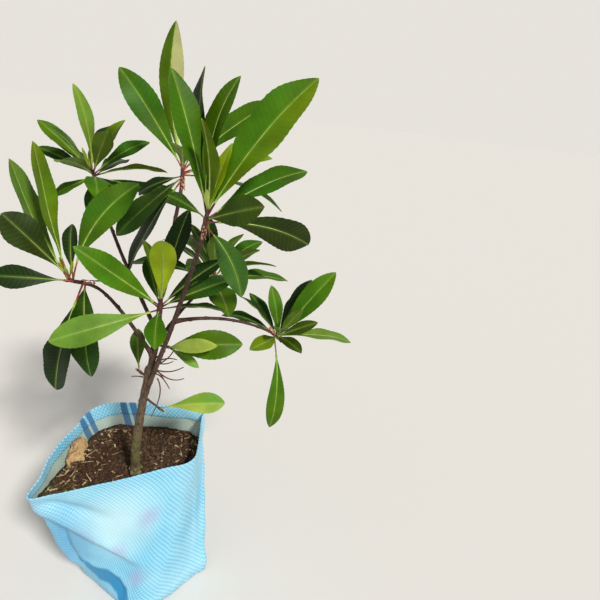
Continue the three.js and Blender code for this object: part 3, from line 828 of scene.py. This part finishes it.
# Upper and under side of each tint, dealt out leaf by leaf.
# The dark tint is painted shade, given to leaves that lie in the shadow of others.
TINTS = {
    "bright": ("#3c6604", "#56741e"), "fresh": ("#5b7d28", "#6c8638"), "mid": ("#325c04", "#4a6a22"),
    "deep": ("#224406", "#3c5824"), "dark": ("#122a0a", "#2c4824"), "olive": ("#547208", "#4c660a"),
    "umber": ("#2e4604", "#38480a"), "bronze": ("#24340a", "#26340c"), "yellow": ("#7e9a12", "#88a41c"),
    "beige": ("#868e4c", "#b0b078"), "grey": ("#34561c", "#587848"), "lime": ("#608a2c", "#7c9a40"),
    "pale": ("#869c40", "#909e4c"),
}
# Each mass is a whorl on a bough's tip, or a shoot with a start of its own. A leaf is its bearing, rise,
# length and roll, its tint, and what is special in its form. The filling between them has a count, a seed,
# a lowest and a highest rise, a length, and the numbers of its leaves that are left out.
MASSES = {
    "top_front_leaves": {
        "bough": "leader", "centre": (98, -150, 852), "stalks": "maroon",
        "leaves": (
            (-5, 55, 221, -57, "bright", {"painted_light_half_tint": "olive", "fold": 0.34}),
            (155, 74, 176, 25, "mid", {"wide": 0.23}),
            (-103, 71, 127, 50, "olive"),
            (31, 77, 175, 0, "mid", {"wide": 0.22, "sway": -0.06}),
            (96, 74, 184, 70, "dark"), (-20, 73, 98, -70, "yellow", {"wide": 0.2}),
            (22, 23, 170, -20, "mid"), (-59, 21, 119, -75, "umber", {"wide": 0.31, "fold": 0.12}),
            (8, -12, 156, -98, "bronze", {"wide": 0.32, "sway": -0.1}),
            (-50, -48, 107, -50, "grey",
             {"wide": 0.33, "towards_tip": 1.15, "arch": -0.06, "sway": -0.08, "stalk_share": 0.14}),
            (-155, 32, 62, 60, "deep", {"wide": 0.34}),
        ),
        "filling": (12, 11, (0, 65), 150, (1, 6, 7)),
    },
    "top_back_leaves": {
        "bough": "back_bough", "centre": (67, 40, 883), "stalks": "red",
        "leaves": (
            (174, 57, 168, 65, "mid", {"wide": 0.27}),
            (-130, 86, 205, -35, "beige", {"painted_light_half_tint": "olive", "wide": 0.18, "fold": 0.35, "sway": 0.07}),
            (-174, -43, 146, 50, "grey", {"wide": 0.28, "stalk_share": 0.05}),
            (142, -25, 108, 50, "dark"), (8, 39, 188, -38, "mid"),
            (171, -61, 196, 34, "dark", {"wide": 0.28}),
        ),
        "filling": (16, 23, (-20, 65), 165, (2, 4, 6)),
    },
    "middle_leaves": {
        "bough": "middle_bough", "centre": (33, -40, 675), "stalks": "maroon",
        "leaves": (
            (-158, 43, 165, 68, "bright", {"wide": 0.25}),
            (-159, -8, 166, 50, "fresh", {"wide": 0.28, "arch": 0.08, "towards_tip": 1.9}),
            (-84, 62, 151, 5, "yellow"), (140, 73, 108, -15, "olive"), (5, 22, 130, -43, "deep"),
            (21, 33, 131, -24, "dark"), (29, 11, 127, -12, "dark"), (-8, 2, 108, 6, "dark"),
            (-91, -6, 111, 4, "mid", {"wide": 0.3}), (50, 65, 164, 0, "dark", {"wide": 0.28}),
        ),
        "filling": (12, 37, (0, 55), 125, (2, 3)),
    },
    "left_leaves": {
        "bough": "left_bough", "centre": (-102, -30, 708), "stalks": "red", "stalk_share": 0.17,
        "leaves": (
            (180, 83, 206, 14, "olive", {"wide": 0.22, "arch": -0.05}),
            (163, 69, 190, 4, "fresh", {"wide": 0.27, "arch": -0.07}),
            (-158, 54, 136, 66, "bronze", {"wide": 0.36}), (-169, 8, 112, 60, "dark", {"wide": 0.32}),
            (-165, -73, 198, 40, "dark", {"wide": 0.31}),
            (150, -88, 179, 100, "deep", {"wide": 0.3, "towards_tip": 1.1, "stalk_share": 0.06}),
            (14, 56, 183, -62, "mid", {"wide": 0.27, "sway": -0.09}), (98, 51, 97, 25, "dark"),
        ),
        "filling": (12, 41, (5, 50), 135, (0, 1, 2, 3, 4, 5, 7, 10)),
    },
    "right_leaves": {
        "bough": "right_bough", "centre": (247, 0, 581), "stalks": "green",
        "leaves": (
            (119, 71, 103, 30, "bright"), (19, 61, 129, -10, "dark"), (-6, 56, 168, -60, "bright"),
            (-20, 30, 85, -60, "umber"), (0, -5, 156, 0, "fresh"), (-78, 13, 105, -20, "umber"),
            (-125, 13, 113, 40, "olive"),
            (-60, -86, 218, -40, "bright", {"wide": 0.16, "sway": -0.05, "stalk_share": 0.2}),
        ),
        "filling": (11, 53, (0, 50), 125, (4,)),
    },
    "back_left_leaves": {
        "bough": "back_left_bough", "centre": (-87, 130, 853), "stalks": "maroon",
        "leaves": (
            (180, 83, 138, 38, "fresh", {"wide": 0.2}), (166, 42, 118, 30, "bright"),
            (180, 25, 95, 50, "deep"), (-145, -20, 80, 20, "mid"), (-88, -30, 96, 10, "grey"),
            (-48, -11, 86, -20, "dark"),
        ),
        "filling": (16, 67, (-20, 60), 150, (1,)),
    },
    "back_right_leaves": {
        "bough": "back_right_bough", "centre": (130, 138, 656), "stalks": "red",
        "leaves": (),
        "filling": (18, 71, (-10, 70), 155, (4,)),
    },
    "fork_leaves": {
        "start": (22, -27, 590), "centre": (46, -38, 590), "stalks": "green",
        "leaves": (
            (-9, 6, 128, -62, "bright", {"wide": 0.4, "towards_tip": 1.3, "stalk_share": 0.04}),
            (-30, 16, 95, -60, "pale", {"arch": 0.14, "fold": 0.8}), (-20, -29, 65, -30, "lime"),
        ),
    },
    "left_fork_leaf": {
        "start": (6, -20, 520), "centre": (-6, -26, 536), "stalks": "red",
        "leaves": ((90, 84, 80, 0, "umber", {"wide": 0.32}),),
    },
    "low_leaf": {
        "start": (0, -21, 478), "centre": (30, -40, 462), "stalks": "green",
        "leaves": (
            (-8, 8, 118, -42, "lime", {"wide": 0.32, "arch": 0.1, "painted_light_half_tint": "pale", "fold": 0.4}),
        ),
    },
}
FILLING_TINTS = ("mid", "deep", "bright", "dark", "mid", "olive", "deep", "fresh")
YOUNG_LEAVES = ((20, 70, 38, 0), (140, 78, 27, 20), (260, 72, 33, -20), (330, 80, 18, 0))
YOUNG_FORM = {"wide": 0.24, "arch": -0.06, "fold": 0.5}


def seeded_draws(seed):
    """Repeatable numbers from 0 to 1, by the rule that the source has for its filling leaves."""
    while True:
        seed = (seed * 1664525 + 1013904223) % 2**32
        yield seed / 2**32


def filling_leaves(mass):
    """The filling turns by the golden angle, rises from the outside in and keeps clear of its neighbours."""
    count, seed, (low, high), usual_length, left_out = mass["filling"]
    draws = seeded_draws(seed)
    taken = [heading(bearing, rise) for bearing, rise, *_ in mass["leaves"]]
    leaves = []
    for number in range(count):
        inwards = number / (count - 1)
        bearing = math.degrees(GOLDEN_ANGLE) * number + 30 * next(draws)
        rise = low + (high - low) * inwards + 10 * next(draws)
        length = usual_length * (1.1 - 0.35 * inwards) * (0.85 + 0.3 * next(draws))
        roll = 80 * (next(draws) - 0.5)
        form = {"arch": 0.03 + 0.08 * next(draws)}
        direction = heading(bearing, rise)
        apart = min((math.degrees(math.acos(min(other @ direction, 1))) for other in taken), default=180)
        if apart >= LEAVES_APART and number not in left_out:
            taken.append(direction)
            leaves.append((bearing, rise, length, roll, FILLING_TINTS[number % len(FILLING_TINTS)], form))
    return leaves


def leaf_skin(name, green_hex, roughness, shine):
    """A leaf's skin: satin wax over green, a little lighter along its veins and blotched by age."""
    material, node = new_material(name)
    coordinates = node("TexCoord")
    place = coordinates["Object"]
    axes = node("SeparateXYZ", (coordinates["UV"],))
    from_midrib = node("Math", (axes[0],), operation="ABSOLUTE")[0]
    back = node("Math", (from_midrib, -VEIN_SLANT, axes[1]), operation="MULTIPLY_ADD")[0]
    places = node("Math", (back, 2 / (VEIN_SPACING * MM)), operation="MULTIPLY")[0]
    from_vein = node("Math", (places, 0.5), operation="PINGPONG")[0]
    vein = node("MapRange", (from_vein, 0, 0.16, 0.03, 0))[0]
    beside = node("MapRange", (from_midrib, 1 * MM, 3.5 * MM, 0.1, 0))[0]
    pale = node("Math", (vein, beside), operation="MAXIMUM")[0]
    green = layered(node, green_hex, ((pale, "#a8c45c"),))
    tone = mottled(node, place, 26, 3, (0.3, 0.7), (0.78, 1.22))[1]
    hue = mottled(node, place, 14, 1, (0.35, 0.65), (0.482, 0.508))[1]
    green = node("HueSaturation", {"Hue": hue, "Value": tone, "Color": green})[0]
    cells = node("TexNoise", {"Vector": place, "Scale": 700, "Detail": 2})[0]
    height = node("Math", (cells, 0.25, vein), operation="MULTIPLY_ADD")[0]
    surface(node, green, height, 0.35, 0.6, Roughness=roughness, IOR=1.4, Specular_IOR_Level=shine)
    return material


def soft_skin(name, young, old, roughness=0.5):
    """The smooth skin of a stalk, rib or bud, of two mingled colours."""
    material, node = new_material(name)
    mingle, share = mottled(node, node("TexCoord")["Object"], 150, 3, (0.38, 0.62))
    surface(node, layered(node, young, ((share, old),)), mingle, 0.3, 0.4, Roughness=roughness, IOR=1.45)
    return material


# Living leaf has a thin wax coat, so it shines softly, brighter above than below. Red sap colours most
# of the stalks.
upper_skins = {tint: leaf_skin("leaf_upper_" + tint, pair[0], 0.48, 0.16) for tint, pair in TINTS.items()}
under_skins = {tint: leaf_skin("leaf_under_" + tint, pair[1], 0.6, 0.12) for tint, pair in TINTS.items()}
midrib_skin = soft_skin("leaf_midrib", "#a6c25a", "#86a440")
stalk_skins = {
    "maroon": soft_skin("leaf_stalk_maroon", "#6b2a22", "#3f1714"),
    "red": soft_skin("leaf_stalk_red", "#b05a44", "#7c3428"),
    "green": soft_skin("leaf_stalk_green", "#86a44c", "#8f7a44"),
}
shoot_bark = soft_skin("shoot_bark", "#5c382c", "#3a231c", 0.65)
scar_cork = soft_skin("leaf_scar_cork", "#c99680", "#94624f", 0.8)
bud_scales = soft_skin("bud_scales", "#b7b860", "#a86a48", 0.45)


def leaf_midline(base, bearing, rise, length, roll, form):
    """The leaf's line from stalk to tip as start, bend and end, and the direction that it faces."""
    direction = heading(bearing, rise)
    turn = Quaternion(Vector(direction), math.radians(-roll))
    face = np.array(turn @ Vector(heading(bearing, rise + 90)))
    tip = base + direction * length
    bow = face * form.get("arch", LEAF_ARCH) + np.cross(direction, face) * form.get("sway", 0)
    return (base, (base + tip) / 2 + bow * 2 * length, tip), face


class LeafPile:
    """Leaves gathered as arrays, to be joined into one piece."""

    def __init__(self):
        self.points = []
        self.uvs = []
        self.faces = []
        self.skins = []
        self.materials = []

    def skin_number(self, material):
        if material not in self.materials:
            self.materials.append(material)
        return self.materials.index(material)

    def add_rings(self, rings, uvs, skins):
        """Adds a closed skin through rings of points, with one skin number for each side."""
        rows, sides = rings.shape[0] - 1, rings.shape[1]
        first = sum(len(points) for points in self.points)
        self.points.append(rings.reshape(-1, 3))
        self.uvs.append(uvs.reshape(-1, 2))
        row_starts = first + np.arange(rows)[:, None] * sides
        corner = row_starts + np.arange(sides)
        after = row_starts + (np.arange(sides) + 1) % sides
        quads = np.stack((corner, after, after + sides, corner + sides), axis=-1)
        self.faces += quads.reshape(-1, 4).tolist()
        self.faces.append([first + side for side in reversed(range(sides))])
        self.faces.append([first + rows * sides + side for side in range(sides)])
        self.skins += list(skins) * rows + [skins[0], skins[0]]

    def add_leaf(self, base, bearing, rise, length, roll, tint, form, chance):
        """Adds one leaf. Its rows of points stand closer together at the blade's two ends."""
        fold = form.get("fold", LEAF_FOLD) + chance.uniform(-FOLD_VARIES, FOLD_VARIES)
        line, face = leaf_midline(base, bearing, rise, length, roll, form)
        share = np.linspace(0, 1, max(8, round(length / ROW_SPACING)) + 1)
        blade = 0.55 * share + 0.225 * (1 - np.cos(math.pi * share))
        stalk = form.get("stalk_share", STALK_SHARE)
        middle = bowed(*line, (stalk + (1 - stalk) * blade)[:, None])
        hanging = np.clip(blade - 0.6, 0, 1)[:, None] ** 2 / 0.16
        middle -= face * chance.uniform(0, DROOP) * length * hanging
        tangent = unit(np.gradient(middle, axis=0))
        across = unit(np.cross(tangent, face))
        normal = np.cross(across, tangent)
        twist = (math.radians(chance.uniform(-TWIST, TWIST)) * blade)[:, None]
        turned_across = across * np.cos(twist) + normal * np.sin(twist)
        turned_normal = normal * np.cos(twist) - across * np.sin(twist)
        spine = (middle, turned_across, turned_normal)
        self.add_blade(spine, blade, length, fold, tint, form, chance)
        self.add_midrib(spine, blade, length)

    def add_blade(self, spine, blade, length, fold, tint, form, chance):
        """Adds the blade round the leaf's spine: its middle line and the directions across and up."""
        middle, across, normal = spine
        width = length * form.get("wide", LEAF_SLIMNESS)
        teeth = 1 + TOOTH * np.where(np.arange(len(blade)) % 2, 1, -1) * (blade > 0.2)
        towards_tip = form.get("towards_tip", 1.45 + 8 * max(0, width / length - LEAF_SLIMNESS))
        half = width / 2 * np.sin(math.pi * np.minimum(blade**towards_tip, 1)) ** 0.75 * teeth
        half = np.maximum(half, np.where(blade < 0.5, 1.3, 0.3))
        side = half[:, None] * LEAF_PLACES
        edge = np.abs(LEAF_PLACES)
        lift = np.abs(side) * fold * (1 - 0.25 * edge)
        for sign in (-1, 1):
            wave = WAVE * half * np.sin(2 * math.pi * (chance.uniform(1.6, 2.6) * blade + chance.random()))
            lift += np.where(LEAF_PLACES * sign > 0, edge**2 * wave[:, None], 0)
        veins = np.cos(2 * math.pi * (blade[:, None] * length - VEIN_SLANT * np.abs(side)) / VEIN_SPACING)
        lift -= VEIN_RELIEF * veins * (4 * edge * (1 - edge)) ** 0.7 * np.minimum(half / 12, 1)[:, None]
        thick = LEAF_THICKNESS / 2 * np.sqrt(1 - edge**2)
        sheet = middle[:, None] + across[:, None] * side[..., None]
        upper = sheet + normal[:, None] * (lift + thick)[..., None]
        under = sheet + normal[:, None] * (lift - thick)[..., None]
        uv = np.stack((side, np.broadcast_to(blade[:, None] * length, side.shape)), axis=-1)
        back_again = slice(-2, 0, -1)
        rings = np.concatenate((upper, under[:, back_again]), axis=1)
        # A second tint on one half of the blade is painted light and shade: one half of the folded blade
        # lighter or darker than the other.
        halves = (tint, form.get("painted_light_half_tint", tint))
        over = [self.skin_number(upper_skins[half]) for half in halves]
        below = [self.skin_number(under_skins[half]) for half in reversed(halves)]
        skins = np.repeat(over + below, (len(LEAF_PLACES) - 1) // 2).tolist()
        self.add_rings(rings, np.concatenate((uv, uv[:, back_again]), axis=1), skins)

    def add_midrib(self, spine, blade, length):
        """Adds the tapering midrib, which stands out above and more so below."""
        middle, across, normal = spine
        rib = np.clip(length / 120, 0.35, 1.5) * (1.35 - 1.0 * blade)[:, None]
        above, beneath = normal * (0.45 + 0.4 * rib), normal * (0.5 + 0.9 * rib)
        rings = (middle - across * rib, middle + above, middle + across * rib, middle - beneath)
        skins = [self.skin_number(midrib_skin)] * 4
        self.add_rings(np.stack(rings, axis=1), np.zeros((len(blade), 4, 2)), skins)

    def finish(self, name, replaced):
        mesh = bpy.data.meshes.new(name)
        mesh.from_pydata((np.concatenate(self.points) * MM).tolist(), [], self.faces)
        mesh.polygons.foreach_set("material_index", self.skins)
        corner_points = np.zeros(len(mesh.loops), np.int32)
        mesh.loops.foreach_get("vertex_index", corner_points)
        uv_layer = mesh.uv_layers.new(name="leaf_directions")
        uv_layer.data.foreach_set("uv", (np.concatenate(self.uvs) * MM)[corner_points].ravel())
        mesh.update()
        placed(name, mesh, self.materials, replaced)


for number, (name, mass) in enumerate(MASSES.items()):
    chance = random.Random(100 + number)
    centre = np.array(mass["centre"], float)
    is_whorl = "bough" in mass
    if is_whorl:
        start, end, bow, _, radius = BOUGHS[mass["bough"]]
        leaving = bough_line(start, end, bow)[1]
        start = np.array(end, float)
        depth = WHORL_DEPTH
        leaves = (*mass["leaves"], *filling_leaves(mass))
    else:
        start = np.array(mass["start"], float)
        leaving = unit(centre - start)
        radius = SHOOT_RADIUS
        depth = SHOOT_DEPTH
        leaves = mass["leaves"]
    bend = start + leaving * (CLEARANCE + np.linalg.norm(centre - start) / 2)
    direction = unit(centre - bend)
    tip = centre + direction * BUD_LENGTH

    pile = LeafPile()
    twigs = bmesh.new()
    run, line = evenly(bowed_line(start - leaving * 2, bend, tip), 1.8)
    swelling = 1.1 * bell((run[-1] - BUD_LENGTH - depth / 2 - run) / (0.5 * depth))
    loft(twigs, limb_rings(line, radius * (1 - 0.4 * run / run[-1]) + swelling, 14, 0.25, run, 5.5, 0.7))
    for bearing, rise, length, roll, tint, *special in leaves:
        form = {"sway": chance.uniform(-0.02, 0.02), "stalk_share": mass.get("stalk_share", STALK_SHARE)}
        form.update(*special)
        base = centre - direction * depth * (90 - rise) / 180
        pile.add_leaf(base, bearing, rise, length, roll, tint, form, chance)
        (low, bow_point, high), face = leaf_midline(base, bearing, rise, length, roll, form)
        reach = form["stalk_share"] + 0.06
        inner = low + (bow_point - low) * reach
        stalk_end = bowed(low, bow_point, high, reach)
        thick = 1.0 + length / 260
        curved_tube(twigs, low, inner - face * 0.4, stalk_end - face * 0.5, thick, 0.55 * thick, 10, 3.0, 1)
    if is_whorl:
        for bearing, rise, length, roll in YOUNG_LEAVES:
            base = tip - direction * 5
            tint = chance.choice(("lime", "yellow", "pale"))
            pile.add_leaf(base, bearing + 40 * number, rise, length, roll, tint, YOUNG_FORM, chance)
        for scar in range(SCARS):
            turn = scar * GOLDEN_ANGLE
            side = unit(np.cross(direction, (math.cos(turn), math.sin(turn), 0.3)))
            down = direction * (depth * 0.75 + scar * 1.3)
            knob(twigs, centre - down + side * radius * 0.9, chance.uniform(1.3, 2.2), side, 2)
    knob(twigs, tip, 2.2, np.cross(direction, (1, 0.2, 0)), 3)
    skins = (shoot_bark, stalk_skins[mass["stalks"]], scar_cork, bud_scales)
    finished(name + "_twigs", twigs, skins)
    pile.finish(name + "_blades", (name,))


# Floor, light and camera. A plain pale floor under a large soft lamp from the right front and a wide fill,
# in a pale room, and a camera held above the plant, looking down on it and tipped a little to one side.
FLOOR_RADIUS = 40
# Each light comes from a direction, with a strength, the width of its source in degrees, and a colour.
LIGHTS = {
    "key_light": ((0.44, -0.91, 1.0), 3.4, 9, "#fffaf2"),
    "fill_light": ((-1.0, -0.5, 0.9), 0.12, 60, "#eef4ff"),
}
ROOM_LOW = 0.84
ROOM_HIGH = 0.2
CAMERA_PLACE = Vector((68, -743, 993)) * MM
CAMERA_PITCH = math.radians(23.1)
CAMERA_YAW = math.radians(15.9)
CAMERA_ROLL = math.radians(-6.6)

bm = bmesh.new()
bmesh.ops.create_circle(bm, cap_ends=True, segments=128, radius=FLOOR_RADIUS)
floor_mesh = bpy.data.meshes.new("floor")
bm.to_mesh(floor_mesh)
bm.free()
floor = bpy.data.objects.new("floor", floor_mesh)
bpy.context.scene.collection.objects.link(floor)
# The floor is painted matt, so that it has no shine at the horizon.
floor_paint, node = new_material("studio_floor_paint")
matt = {"Base Color": colour("#d8d8d7"), "Roughness": 0.9, "Specular IOR Level": 0.0}
node("OutputMaterial", {"Surface": node("BsdfPrincipled", matt)[0]})
floor_mesh.materials.append(floor_paint)

for name, (place, strength, width, tone) in LIGHTS.items():
    lamp = bpy.data.lights.new(name, "SUN")
    lamp.energy = strength
    lamp.angle = math.radians(width)
    lamp.color = colour(tone)[:3]
    light = bpy.data.objects.new(name, lamp)
    light.rotation_euler = Vector(place).to_track_quat("Z", "Y").to_euler()
    bpy.context.scene.collection.objects.link(light)

# The room is as bright as the floor at the horizon and dimmer overhead.
world = bpy.data.worlds.new("studio")
world.use_nodes = True
world.node_tree.nodes.clear()
node = partial(add_node, world.node_tree)
height = node("SeparateXYZ", (node("TexCoord")["Generated"],))[2]
strength = node("MapRange", (height, 0.2, 0.9, ROOM_LOW, ROOM_HIGH))[0]
glow = node("Background", {"Color": colour("#f9f5ee"), "Strength": strength})[0]
node("OutputWorld", {"Surface": glow})
bpy.context.scene.world = world
bpy.context.scene.view_settings.view_transform = "Standard"

lens = bpy.data.cameras.new("camera")
lens.lens = 27
lens.sensor_width = 36
camera = bpy.data.objects.new("camera", lens)
turned = Matrix.Rotation(-CAMERA_YAW, 4, "Z")
pitched = Matrix.Rotation(math.pi / 2 - CAMERA_PITCH, 4, "X")
rolled = Matrix.Rotation(-CAMERA_ROLL, 4, "Z")
camera.matrix_world = Matrix.Translation(CAMERA_PLACE) @ turned @ pitched @ rolled
bpy.context.scene.collection.objects.link(camera)
bpy.context.scene.camera = camera
